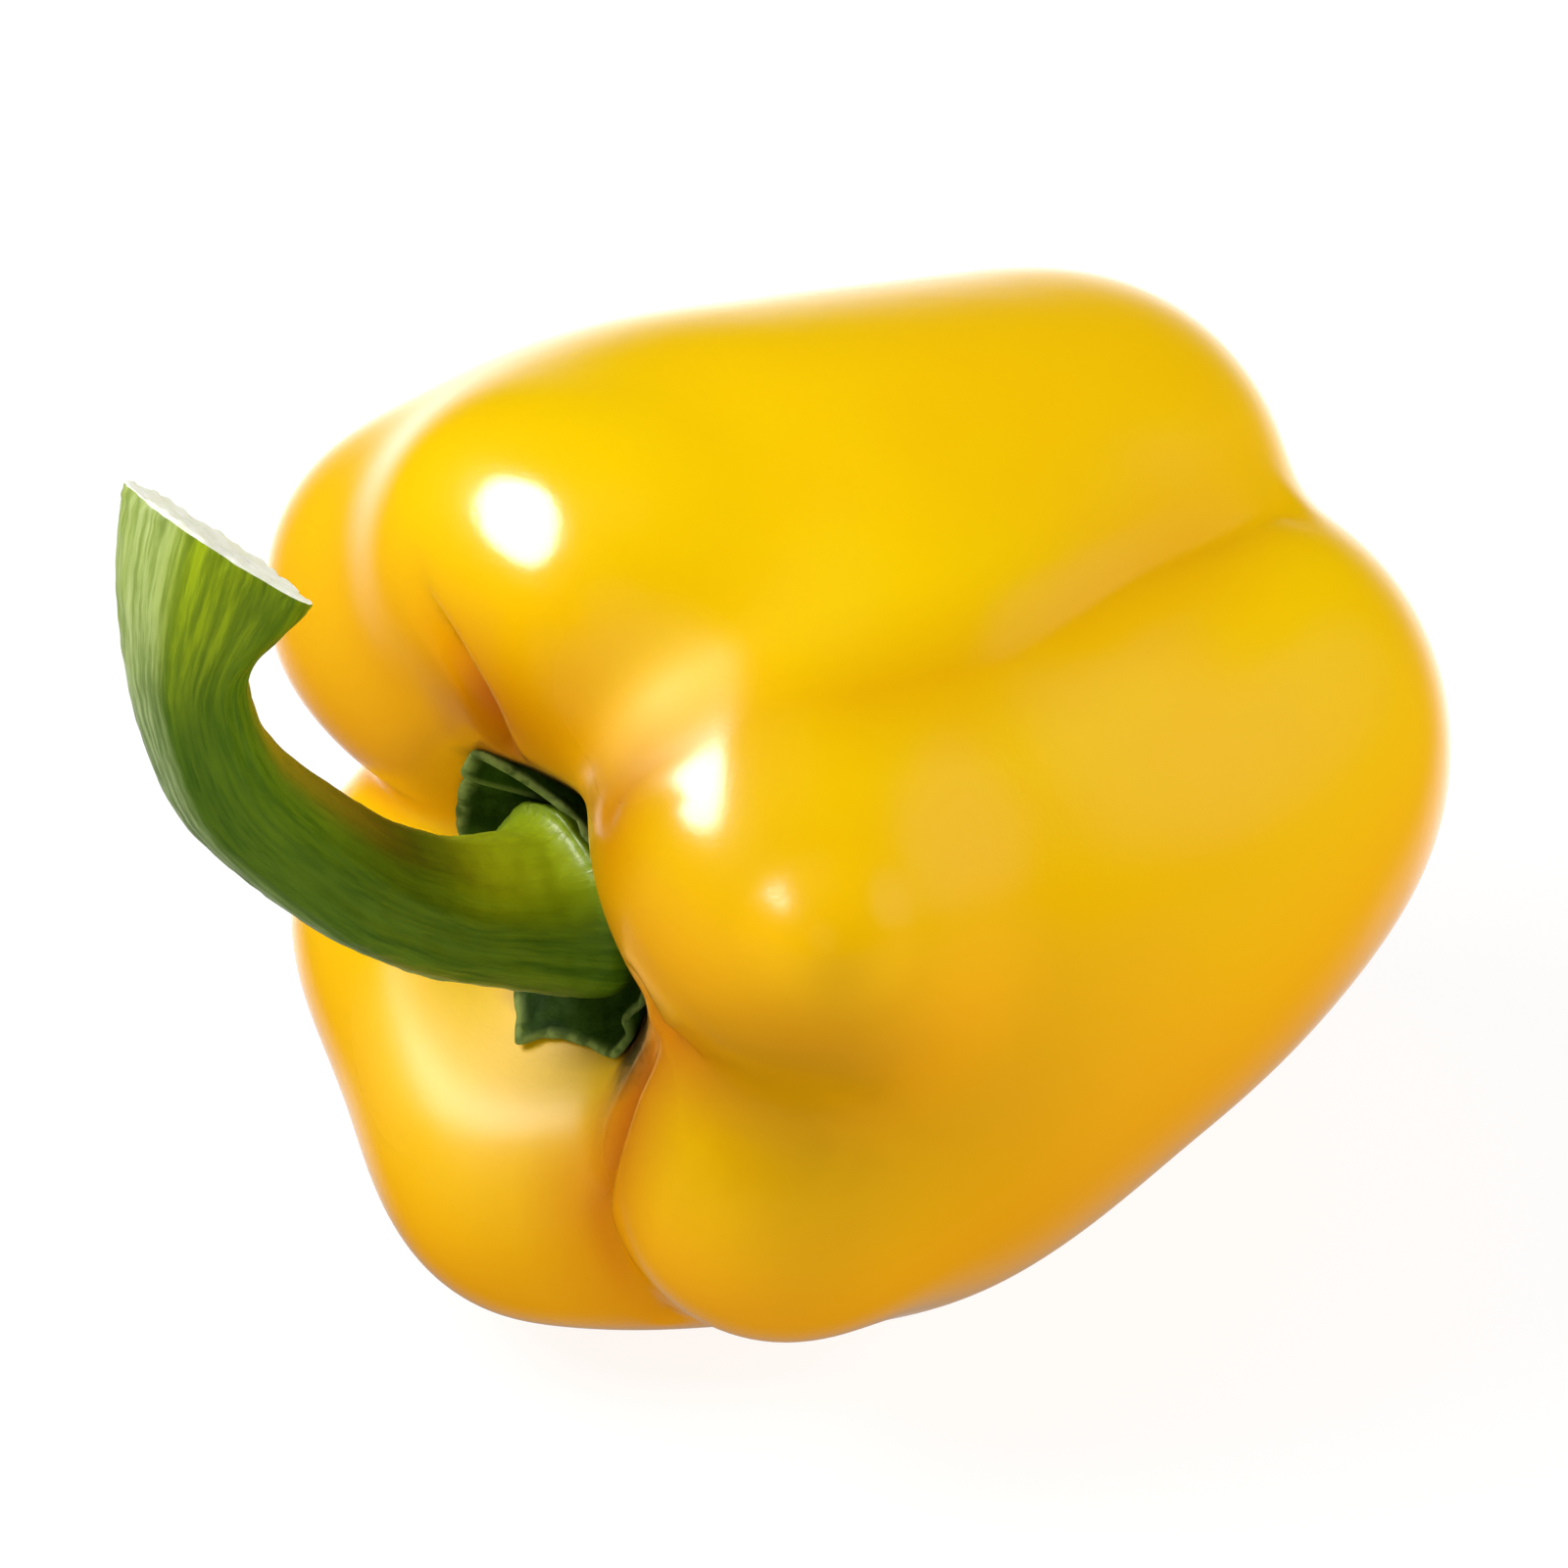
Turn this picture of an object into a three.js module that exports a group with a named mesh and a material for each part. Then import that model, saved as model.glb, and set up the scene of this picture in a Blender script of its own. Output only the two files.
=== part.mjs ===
// A ripe yellow bell pepper, as picked, lying on its side with its curved green stem.
// Millimetres. +X runs from the stem end to the blossom end, +Z is up, and the surface that the
// pepper lies on is z = 0.
//
// The fruit is first shaped standing, stem up, about its own axis. Its height is h, and a clock
// angle says where a thing sits around the axis: 0 is the side that ends up on top, and clockwise
// is as seen from the stem. Each knuckle of the fruit is a ball swept along a bowed spine from the
// blossom end to the shoulder. Two knuckles make a lobe, and the skin is the smooth union of the
// lobes round a plain core. Then the fruit is laid on its side.

import * as THREE from "three";

// Driving dimensions: how the fruit lies

const FRUIT_TILT = 4; // degrees that the stem end is raised above the blossom end
const FRUIT_ROLL = 0; // degrees that the fruit is rolled clockwise, seen from the stem
const FLAT_SPOT_DEPTH = 0.8; // how far the fruit's weight presses its low points flat

// Driving dimensions: the knuckles of the fruit
// A station gives the clock angle, the reach from the axis, the height and the girth of the ball.

const KNUCKLES = {
  topLeft: {
    tip: { clock: -18, reach: 18.5, height: 19.5, girth: 17.5 },
    waist: { clock: -35, reach: 21, height: 53, girth: 23.5 },
    shoulder: { clock: -58, reach: 31, height: 71.5, girth: 16.3 },
  },
  top: {
    tip: { clock: -6, reach: 20.5, height: 20, girth: 17.8 },
    waist: { clock: 4, reach: 20, height: 48, girth: 22.4 },
    shoulder: { clock: -17, reach: 31, height: 74, girth: 15 },
  },
  right: {
    tip: { clock: 62, reach: 18, height: 17.5, girth: 18.5 },
    waist: { clock: 76, reach: 20, height: 48, girth: 24 },
    shoulder: { clock: 54, reach: 30, height: 73.5, girth: 14.3 },
  },
  lowerRight: {
    tip: { clock: 90, reach: 18, height: 17.5, girth: 18.3 },
    waist: { clock: 110, reach: 20, height: 48, girth: 24.5 },
    shoulder: { clock: 126, reach: 30.5, height: 69.5, girth: 15.5 },
  },
  lowerLeft: {
    tip: { clock: 190, reach: 20, height: 18, girth: 18 },
    waist: { clock: 171, reach: 21, height: 45, girth: 26 },
    shoulder: { clock: 184, reach: 30, height: 75, girth: 16 },
  },
  left: {
    tip: { clock: 205, reach: 18, height: 18, girth: 18 },
    waist: { clock: 222, reach: 20, height: 48, girth: 24.5 },
    shoulder: { clock: 232, reach: 28.5, height: 71, girth: 16 },
  },
};

// How widely the skin rounds over the crease in each lobe, and over the creases between lobes.
const LOBES = [
  { knuckles: ["topLeft", "top"], crease: { tip: 20, waist: 18, shoulder: 7 } },
  { knuckles: ["right", "lowerRight"], crease: { tip: 20, waist: 18, shoulder: 6 } },
  { knuckles: ["lowerLeft", "left"], crease: { tip: 20, waist: 18, shoulder: 16 } },
];
const CREASE_BETWEEN_LOBES = { tip: 4, waist: 18, shoulder: 3 };
const CREASE_HEIGHTS = { tip: 14, waist: 52, shoulder: 83 };

// Low round swellings: on the shoulders of the top lobe and the near lobe, and in the groove
// between the two, which is shallow.
const SWELLINGS = [
  { clock: 2, reach: 31, height: 74, girth: 14.5, blend: 6 },
  { clock: 70, reach: 37, height: 74.5, girth: 10.5, blend: 10 },
  { clock: 35, reach: 24.5, height: 61, girth: 14, blend: 14 },
];

// The core fills the middle of the fruit, and the stem pit is a round hollow over it.
const CORE = { reach: 20, low: 32, high: 64, rounding: 6, crease: 6 };
const STEM_PIT = { height: 87, girth: 15.5, rim: 5 };

// Driving dimensions: the calyx, a thin cap with blunt teeth on the floor of the stem cavity

const STEM_ROOT = { clock: 125, reach: 2.5 }; // the middle of the calyx and the foot of the stem
const CALYX = { gap: 0.4, thickness: 1.6, reach: 11.5 }; // reach to the notches between the teeth
const CALYX_TEETH = [
  { clock: 15, length: 2, spread: 30 },
  { clock: 75, length: 2, spread: 30 },
  { clock: 135, length: 2.5, spread: 32 },
  { clock: 195, length: 1.6, spread: 38 },
  { clock: 255, length: 3, spread: 32 },
  { clock: 315, length: 4.5, spread: 30 },
];

// Driving dimensions: the stem, in the upright plane along the fruit
// A station gives how far the stem's middle is out from its foot and up, the angle by which the
// stem has turned upwards there, and the stem's width.

const STEM_FOOT = { gap: 0.3, girth: 7.8 };
const STEM_STATIONS = [
  { out: 5.5, up: 1.6, turn: 10, width: 15.6 },
  { out: 10.5, up: 3.9, turn: 22, width: 14.3 },
  { out: 17.8, up: 7.3, turn: 32, width: 12.6 },
  { out: 22.3, up: 10.6, turn: 39, width: 12 },
  { out: 27.9, up: 15.5, turn: 46, width: 11.4 },
  { out: 37.3, up: 27, turn: 58, width: 10.4 },
  { out: 40.6, up: 33.8, turn: 69, width: 9.8 },
  { out: 42.1, up: 41.6, turn: 85, width: 10 },
  { out: 41, up: 46, turn: 100, width: 12.8 },
  { out: 39.8, up: 49.4, turn: 115, width: 15.7 },
  { out: 38.6, up: 53.6, turn: 131, width: 18.2 },
];

// How finely the surfaces are divided

const FRUIT_ROWS = 48;
const FRUIT_COLUMNS = 88;
const CALYX_RINGS = 4;
const CALYX_COLUMNS = 48;
const STEM_RINGS = 24;
const STEM_COLUMNS = 20;
const FOOT_RINGS = 3;

// The inner line from which the skin is found, with the way that it looks out at each station: the
// tilt is 0 straight out, 90 towards the stem and -90 towards the blossom end.

const INNER_LINE = [
  { reach: 0, height: 30, tilt: -90 },
  { reach: 9, height: 30, tilt: -68 },
  { reach: 16, height: 32, tilt: -38 },
  { reach: 20, height: 36, tilt: -14 },
  { reach: 22, height: 44, tilt: 0 },
  { reach: 23, height: 56, tilt: 6 },
  { reach: 23, height: 63, tilt: 30 },
  { reach: 22, height: 65, tilt: 62 },
  { reach: 20, height: 65, tilt: 88 },
  { reach: 15, height: 64, tilt: 100 },
  { reach: 8, height: 63, tilt: 98 },
  { reach: 0, height: 62, tilt: 90 },
];

// Small helpers

const radians = (degrees) => THREE.MathUtils.degToRad(degrees);
const mix = THREE.MathUtils.lerp;

// The values of a function at each of a number of steps.
const steps = (count, value) => Array.from({ length: count }, (_, i) => value(i));

// A point from its clock angle, reach from the axis and height.
function standingPoint(clock, reach, height) {
  const angle = radians(clock);
  return new THREE.Vector3(reach * Math.cos(angle), -reach * Math.sin(angle), height);
}

// Turns a standing point into the frame of the fruit as it lies.
function laid(point) {
  const rolled = point.clone().applyAxisAngle(new THREE.Vector3(0, 0, 1), -radians(FRUIT_ROLL));
  return rolled.applyAxisAngle(new THREE.Vector3(0, 1, 0), radians(-90 + FRUIT_TILT));
}

// A value that runs smoothly through its tip, waist and shoulder settings by height.
function byHeight(settings, height) {
  const { tip, waist, shoulder } = CREASE_HEIGHTS;
  const lower = THREE.MathUtils.smoothstep(height, tip, waist);
  const upper = THREE.MathUtils.smoothstep(height, waist, shoulder);
  return mix(mix(settings.tip, settings.waist, lower), settings.shoulder, upper);
}

// The smaller of two distances, rounded over where they are within the blend of each other.
function smoothMin(a, b, blend) {
  const overlap = Math.max(blend - Math.abs(a - b), 0) / blend;
  return Math.min(a, b) - (overlap * overlap * blend) / 4;
}

// A smooth line through points.
const smoothLine = (points) => new THREE.CatmullRomCurve3(points, false, "catmullrom", 0.5);

// A closed surface through rings of points, with a point at each end.
function closedSurface(startPole, rings, endPole) {
  const count = rings[0].length;
  const points = [startPole, ...rings.flat(), endPole];
  const last = points.length - 1;
  const lastRing = 1 + (rings.length - 1) * count;
  const index = [];
  for (let j = 0; j < count; j++) {
    const k = (j + 1) % count;
    index.push(0, 1 + k, 1 + j);
    for (let i = 0; i + 1 < rings.length; i++) {
      const [a, b] = [1 + i * count, 1 + (i + 1) * count];
      index.push(a + j, a + k, b + k, a + j, b + k, b + j);
    }
    index.push(lastRing + j, lastRing + k, last);
  }
  const geometry = new THREE.BufferGeometry().setFromPoints(points);
  geometry.setIndex(index);
  geometry.computeVertexNormals();
  return geometry;
}

// The skin of the fruit, as a distance from it

const SPINE_STEPS = 8;
const FINEST_STEP = 1 / 300;

// The spine of a knuckle: a parabola through its three stations, with the ball's girth in w.
function spineOf(knuckle) {
  const [tip, waist, shoulder] = [knuckle.tip, knuckle.waist, knuckle.shoulder].map((station) => {
    const centre = standingPoint(station.clock, station.reach, station.height);
    return new THREE.Vector4(centre.x, centre.y, centre.z, station.girth);
  });
  return (s) =>
    new THREE.Vector4()
      .addScaledVector(tip, (1 - s) * (1 - 2 * s))
      .addScaledVector(waist, 4 * s * (1 - s))
      .addScaledVector(shoulder, s * (2 * s - 1));
}

// How far a point is outside the ball swept along a spine.
function distanceToSweep(spine, point) {
  const gap = (s) => {
    const ball = spine(s);
    return Math.hypot(point.x - ball.x, point.y - ball.y, point.z - ball.z) - ball.w;
  };
  const gaps = steps(SPINE_STEPS + 1, (i) => gap(i / SPINE_STEPS));
  let best = gaps.indexOf(Math.min(...gaps)) / SPINE_STEPS;
  for (let step = 1 / SPINE_STEPS; step > FINEST_STEP; step /= 4) {
    const middle = THREE.MathUtils.clamp(best, step, 1 - step);
    const [low, mid, high] = [gap(middle - step), gap(middle), gap(middle + step)];
    const bend = low - 2 * mid + high;
    const offset = bend > 0 ? THREE.MathUtils.clamp((low - high) / (2 * bend), -1, 1) : 0;
    best = middle + offset * step;
  }
  return Math.min(gap(best), ...gaps);
}

// How far a point is outside the core, a cylinder with a rounded rim.
function distanceToCore(point) {
  const middle = (CORE.low + CORE.high) / 2;
  const outside = Math.hypot(point.x, point.y) - CORE.reach;
  const beyond = Math.abs(point.z - middle) - (CORE.high - CORE.low) / 2;
  const inner = Math.min(Math.max(outside, beyond), 0);
  return inner + Math.hypot(Math.max(outside, 0), Math.max(beyond, 0)) - CORE.rounding;
}

const PIT_CENTRE = standingPoint(STEM_ROOT.clock, STEM_ROOT.reach, STEM_PIT.height);
const LOBE_SPINES = LOBES.map(({ knuckles, crease }) => ({
  spines: knuckles.map((name) => spineOf(KNUCKLES[name])),
  crease,
}));

const SWELLING_BALLS = SWELLINGS.map(({ clock, reach, height, girth, blend }) => ({
  centre: standingPoint(clock, reach, height),
  girth,
  blend,
}));

// How far a point is outside the skin; negative inside.
function distanceToSkin(point) {
  const between = byHeight(CREASE_BETWEEN_LOBES, point.z);
  const lobes = LOBE_SPINES.map(({ spines, crease }) => {
    const [first, second] = spines.map((spine) => distanceToSweep(spine, point));
    return smoothMin(first, second, byHeight(crease, point.z));
  });
  const flesh = lobes.reduce((all, lobe) => smoothMin(all, lobe, between));
  const swollen = SWELLING_BALLS.reduce(
    (all, { centre, girth, blend }) => smoothMin(all, point.distanceTo(centre) - girth, blend),
    flesh,
  );
  const body = smoothMin(swollen, distanceToCore(point), CORE.crease);
  const pit = point.distanceTo(PIT_CENTRE) - STEM_PIT.girth;
  return -smoothMin(-body, pit, STEM_PIT.rim);
}

const FIRST_STEP = 0.1;
const HALVINGS = 16;

// The first point on a ray where the distance to the skin passes the level, from below the level
// where the side is -1 and from above it where the side is 1.
function levelOnRay(start, direction, level, side) {
  const at = (t) => start.clone().addScaledVector(direction, t);
  const short = (t) => side * (distanceToSkin(at(t)) - level);
  let near = 0;
  let far = 0;
  let gap = short(0);
  if (gap < 0) throw new Error("a ray starts on the wrong side of the skin");
  while (gap > 0) {
    near = far;
    far += Math.max(gap * 0.6, FIRST_STEP);
    gap = short(far);
  }
  for (let i = 0; i < HALVINGS; i++) {
    const middle = (near + far) / 2;
    if (short(middle) > 0) near = middle;
    else far = middle;
  }
  return at((near + far) / 2);
}

// The fruit

// The skin's point seen from a place on the inner line.
function skinPoint(clock, { x: reach, y: height, z: tilt }) {
  const start = standingPoint(clock, reach, height);
  const outward = standingPoint(clock, Math.cos(radians(tilt)), Math.sin(radians(tilt)));
  return laid(levelOnRay(start, outward, 0, -1));
}

// Lifts the points until the lowest is the flat spots' depth below the surface, and presses what
// is below the surface flat. Returns the lift.
function settle(points) {
  const lift = -Math.min(...points.map((point) => point.z)) - FLAT_SPOT_DEPTH;
  for (const point of points) point.z = Math.max(point.z + lift, 0);
  return lift;
}

const innerLine = smoothLine(
  INNER_LINE.map(({ reach, height, tilt }) => new THREE.Vector3(reach, height, tilt)),
);
const fruitRings = steps(FRUIT_ROWS - 1, (i) =>
  steps(FRUIT_COLUMNS, (j) =>
    skinPoint((-360 * j) / FRUIT_COLUMNS, innerLine.getPoint((i + 1) / FRUIT_ROWS)),
  ),
);
const blossomPole = skinPoint(0, innerLine.getPoint(0));
const stemPole = skinPoint(0, innerLine.getPoint(1));
const lift = settle([blossomPole, ...fruitRings.flat(), stemPole]);

// The calyx

const CAVITY_TOP = 100; // a height above the shoulders, from which the cavity's floor is sounded
const DOWN = new THREE.Vector3(0, 0, -1);

// The point in the stem cavity at a clock angle and reach from the stem's root that clears the
// skin by the gap.
function overCavity(clock, reach, gap) {
  const root = standingPoint(STEM_ROOT.clock, STEM_ROOT.reach, CAVITY_TOP);
  const start = root.add(standingPoint(clock, reach, 0));
  const point = laid(levelOnRay(start, DOWN, gap, 1));
  point.z += lift;
  return point;
}

// How far the calyx reaches from its middle at a clock angle.
function calyxReach(clock) {
  const teeth = CALYX_TEETH.map((tooth) => {
    const turn = Math.abs(THREE.MathUtils.euclideanModulo(clock - tooth.clock + 180, 360) - 180);
    return turn < tooth.spread ? tooth.length * Math.cos(((turn / tooth.spread) * Math.PI) / 2) : 0;
  });
  return CALYX.reach + Math.max(...teeth);
}

function calyxGeometry() {
  const ring = (gap, share) =>
    steps(CALYX_COLUMNS, (j) => {
      const clock = (-360 * j) / CALYX_COLUMNS;
      return overCavity(clock, calyxReach(clock) * share, gap);
    });
  const shares = steps(CALYX_RINGS, (i) => (i + 1) / CALYX_RINGS);
  const topGap = CALYX.gap + CALYX.thickness;
  const under = shares.map((share) => ring(CALYX.gap, share));
  const over = shares.map((share) => ring(topGap, share)).reverse();
  return closedSurface(overCavity(0, 0, CALYX.gap), [...under, ...over], overCavity(0, 0, topGap));
}

// The stem

// A ring across the stem, in the upright plane turned up by the turn from lying outwards.
function stemRing(foot, { out, up, turn, width }) {
  const middle = foot.clone().add(new THREE.Vector3(-out, 0, up));
  const across = new THREE.Vector3(Math.sin(radians(turn)), 0, Math.cos(radians(turn)));
  return steps(STEM_COLUMNS, (j) => {
    const angle = (2 * Math.PI * j) / STEM_COLUMNS;
    const point = middle.clone().addScaledVector(across, (Math.cos(angle) * width) / 2);
    point.y += (Math.sin(angle) * width) / 2;
    return point;
  });
}

const stemPlaces = smoothLine(
  STEM_STATIONS.map(({ out, up, turn }) => new THREE.Vector3(out, up, turn)),
);
const stemWidths = smoothLine(STEM_STATIONS.map(({ width }) => new THREE.Vector3(width, 0, 0)));

// The smooth station at a share of the stem's length.
function stemStation(share) {
  const { x: out, y: up, z: turn } = stemPlaces.getPoint(share);
  return { out, up, turn, width: stemWidths.getPoint(share).x };
}

function stemGeometry() {
  const footGap = CALYX.gap + CALYX.thickness + STEM_FOOT.gap;
  const foot = overCavity(0, 0, footGap);
  const footRings = steps(FOOT_RINGS, (i) =>
    steps(STEM_COLUMNS, (j) =>
      overCavity((-360 * j) / STEM_COLUMNS, (STEM_FOOT.girth * (i + 1)) / FOOT_RINGS, footGap),
    ),
  );
  const rings = steps(STEM_RINGS + 1, (i) => stemRing(foot, stemStation(i / STEM_RINGS)));
  const cut = new THREE.Vector3(-STEM_STATIONS.at(-1).out, 0, STEM_STATIONS.at(-1).up).add(foot);
  return closedSurface(foot, [...footRings, ...rings], cut);
}

// Assembly

function namedMesh(name, geometry, color, roughness) {
  const material = new THREE.MeshStandardMaterial({ color, roughness, metalness: 0 });
  const mesh = new THREE.Mesh(geometry, material);
  mesh.name = name;
  return mesh;
}

const pepper = new THREE.Group();
pepper.add(namedMesh("fruit", closedSurface(blossomPole, fruitRings, stemPole), 0xf2b705, 0.3));
pepper.add(namedMesh("calyx", calyxGeometry(), 0x1f3a12, 0.6));
pepper.add(namedMesh("stem", stemGeometry(), 0x55750f, 0.5));

// The origin is on the surface, under the middle of the whole.
const middle = new THREE.Box3().setFromObject(pepper).getCenter(new THREE.Vector3());
pepper.position.set(-middle.x, -middle.y, 0);

const part = new THREE.Group();
part.add(pepper);

export default part;
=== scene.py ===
"""A ripe yellow bell pepper lying on its side: its glossy skin, its calyx and its cut stem.

Metres. +X runs from the stem end to the blossom end and +Z is up. The pepper lies on z = 0.
A clock angle says where a thing sits around the pepper's axis: 0 is the top side, and clockwise
is as seen from the stem.
"""

from math import atan2, cos, degrees, pi, radians, sin

import bpy
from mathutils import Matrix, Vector, noise
from mathutils.bvhtree import BVHTree
from mathutils.kdtree import KDTree


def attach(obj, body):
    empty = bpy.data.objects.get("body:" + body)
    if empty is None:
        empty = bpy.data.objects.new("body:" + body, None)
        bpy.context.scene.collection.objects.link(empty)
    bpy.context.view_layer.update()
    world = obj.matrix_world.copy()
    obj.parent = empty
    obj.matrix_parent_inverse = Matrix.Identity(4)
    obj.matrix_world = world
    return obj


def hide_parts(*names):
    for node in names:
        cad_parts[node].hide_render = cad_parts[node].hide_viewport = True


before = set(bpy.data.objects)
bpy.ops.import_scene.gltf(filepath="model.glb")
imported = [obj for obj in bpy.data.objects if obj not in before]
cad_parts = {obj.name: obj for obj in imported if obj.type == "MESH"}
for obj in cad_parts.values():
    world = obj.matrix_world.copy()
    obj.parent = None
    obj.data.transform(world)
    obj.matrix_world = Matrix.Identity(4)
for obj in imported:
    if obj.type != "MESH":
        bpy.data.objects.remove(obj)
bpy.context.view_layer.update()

bl_info = {
    "name": "Yellow Bell Pepper",
    "version": (1, 0, 0),
    "blender": (4, 5, 0),
    "location": "3D View > Sidebar > Pepper",
    "description": "Adds a ripe yellow bell pepper and a plain studio around it",
    "category": "Add Mesh",
}

MM = 0.001

# The pepper's axis, from the stem end to the blossom end, tipped with the stem end up.
AXIS_TILT = radians(4)
TO_BLOSSOM = Vector((cos(AXIS_TILT), 0, -sin(AXIS_TILT)))
AXIS_TOP = Vector((sin(AXIS_TILT), 0, cos(AXIS_TILT)))
AXIS_SIDE = Vector((0, -1, 0))
# The middle of the stem cavity's floor, where the stem grows out of the calyx.
ROOT = Vector((-16.55, 0.3, 48.41)) * MM


# Helpers for shaping


def around_axis(clock, reach):
    """The step from the axis to a place at a clock angle, in degrees, and reach."""
    angle = radians(clock)
    return (AXIS_TOP * cos(angle) + AXIS_SIDE * sin(angle)) * reach


def turn_between(clock, other):
    """How far apart two clock angles are."""
    return abs((clock - other + 180) % 360 - 180)


def work_on(piece):
    """Selects a piece alone and makes it the active one."""
    if bpy.context.object and bpy.context.object.mode != "OBJECT":
        bpy.ops.object.mode_set(mode="OBJECT")
    bpy.ops.object.select_all(action="DESELECT")
    piece.select_set(True)
    bpy.context.view_layer.objects.active = piece


def edit_all(piece):
    """Opens a piece in edit mode with all of it selected."""
    work_on(piece)
    bpy.ops.object.mode_set(mode="EDIT")
    bpy.ops.mesh.select_all(action="SELECT")


def apply_modifier(piece, kind, **settings):
    """Adds a modifier with its settings and applies it."""
    work_on(piece)
    modifier = piece.modifiers.new(kind.title(), kind)
    for name, value in settings.items():
        setattr(modifier, name, value)
    bpy.ops.object.modifier_apply(modifier=modifier.name)


def subdivide_surface(piece, levels):
    """Rounds a piece's faces into finer ones."""
    apply_modifier(piece, "SUBSURF", levels=levels, render_levels=levels)


def bake_place(piece):
    """Puts a piece's place into its mesh."""
    work_on(piece)
    bpy.ops.object.transform_apply(location=True, rotation=True, scale=True)


def smoothstep(value, low, high):
    """0 up to the low value, 1 from the high one on, and a smooth rise between them."""
    share = min(max((value - low) / (high - low), 0), 1)
    return share * share * (3 - 2 * share)


def smooth_values(stations, count):
    """Values along a smooth line through the stations' values, at a number of even steps."""
    last = len(stations) - 1
    rows = []
    for step in range(count):
        place = step / (count - 1) * last
        index = min(int(place), last - 1)
        t = place - index
        around = [stations[min(max(index + k, 0), last)] for k in (-1, 0, 1, 2)]
        rows.append([catmull_rom(values, t) for values in zip(*around)])
    return rows


def catmull_rom(values, t):
    """A value between the middle two of four values, on a smooth line through them all."""
    before, start, end, after = values
    return 0.5 * (
        2 * start
        + (end - before) * t
        + (2 * before - 5 * start + 4 * end - after) * t * t
        + (3 * start - before - 3 * end + after) * t * t * t
    )


def keep_values(piece, name, kind, values):
    """Keeps a value for each vertex of a piece under a name that materials read."""
    attribute = piece.data.attributes.new(name, kind, "POINT")
    field = "vector" if kind == "FLOAT_VECTOR" else "value"
    flat = [part for value in values for part in value] if field == "vector" else values
    attribute.data.foreach_set(field, flat)


def finish_piece(piece, node):
    """Smooths a finished piece's shading, makes it move with the root and hides the CAD node it
    stands for.
    """
    work_on(piece)
    bpy.ops.object.shade_smooth()
    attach(piece, "root")
    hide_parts(node)


# Helpers for materials


def add_node(tree, kind, inputs=None, **settings):
    """Adds a node with its settings, and with its inputs linked or set."""
    made = tree.nodes.new(kind)
    for name, value in settings.items():
        setattr(made, name, value)
    for name, value in (inputs or {}).items():
        if isinstance(value, bpy.types.NodeSocket):
            tree.links.new(value, made.inputs[name])
        else:
            made.inputs[name].default_value = value
    return made


def new_material(name, specular, roughness=0.5, coat=0.0, coat_roughness=0.1):
    """A material, its node tree and its shader."""
    material = bpy.data.materials.new(name)
    material.use_nodes = True
    shader = material.node_tree.nodes["Principled BSDF"]
    shader.inputs["Roughness"].default_value = roughness
    shader.inputs["Coat Weight"].default_value = coat
    shader.inputs["Coat Roughness"].default_value = coat_roughness
    shader.inputs["Specular IOR Level"].default_value = specular
    return material, material.node_tree, shader


def object_position(tree):
    return add_node(tree, "ShaderNodeTexCoord").outputs["Object"]


def attribute(tree, name, output="Fac"):
    return add_node(tree, "ShaderNodeAttribute", attribute_name=name).outputs[output]


def map_range(tree, value, low, high, to_low=0.0, to_high=1.0):
    """A value carried smoothly from one range into another, and held at the range's ends."""
    inputs = {"Value": value, "From Min": low, "From Max": high}
    inputs.update({"To Min": to_low, "To Max": to_high})
    made = add_node(tree, "ShaderNodeMapRange", inputs, interpolation_type="SMOOTHSTEP")
    return made.outputs["Result"]


def times(tree, first, second):
    return add_node(tree, "ShaderNodeMath", {0: first, 1: second}, operation="MULTIPLY").outputs[0]


def mix_colour(tree, share, first, second, blend="MIX"):
    """One colour going over into another by a share."""
    inputs = {0: share, 6: first, 7: second}
    made = add_node(tree, "ShaderNodeMix", inputs, data_type="RGBA", blend_type=blend)
    return made.outputs[2]


def noise_mask(tree, position, size, detail=3.0, roughness=0.5):
    """A soft irregular mask whose patches have about the given size in metres."""
    inputs = {"Vector": position, "Scale": 1 / size, "Detail": detail, "Roughness": roughness}
    return add_node(tree, "ShaderNodeTexNoise", inputs).outputs["Fac"]


def bump(tree, height, depth, normal=None):
    """Normals for a surface that rises with a height, over another surface's normals if given."""
    inputs = {"Height": height, "Strength": 1.0, "Distance": depth}
    if normal is not None:
        inputs["Normal"] = normal
    return add_node(tree, "ShaderNodeBump", inputs).outputs["Normal"]


PATCH_EDGES = (0.35, 0.65)  # the noise at which a patch starts and at which it is full


def mottle_group():
    """The group that every piece's material takes its patches and its fine grain from."""
    name = "Pepper Mottle"
    if name in bpy.data.node_groups:
        return bpy.data.node_groups[name]
    group = bpy.data.node_groups.new(name, "ShaderNodeTree")
    group.interface.new_socket("Position", in_out="INPUT", socket_type="NodeSocketVector")
    for label in ("Patches", "Grain"):
        group.interface.new_socket(label, in_out="INPUT", socket_type="NodeSocketFloat")
    for label in ("Patch Mask", "Grain Height"):
        group.interface.new_socket(label, in_out="OUTPUT", socket_type="NodeSocketFloat")
    start = group.nodes.new("NodeGroupInput").outputs
    end = group.nodes.new("NodeGroupOutput").inputs
    patches = {"Vector": start["Position"], "Scale": start["Patches"], "Detail": 2.0}
    patch = add_node(group, "ShaderNodeTexNoise", patches).outputs["Fac"]
    group.links.new(map_range(group, patch, *PATCH_EDGES), end["Patch Mask"])
    grain = {"Vector": start["Position"], "Scale": start["Grain"], "Detail": 1.0}
    fine = add_node(group, "ShaderNodeTexNoise", grain).outputs["Fac"]
    group.links.new(fine, end["Grain Height"])
    return group


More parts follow.
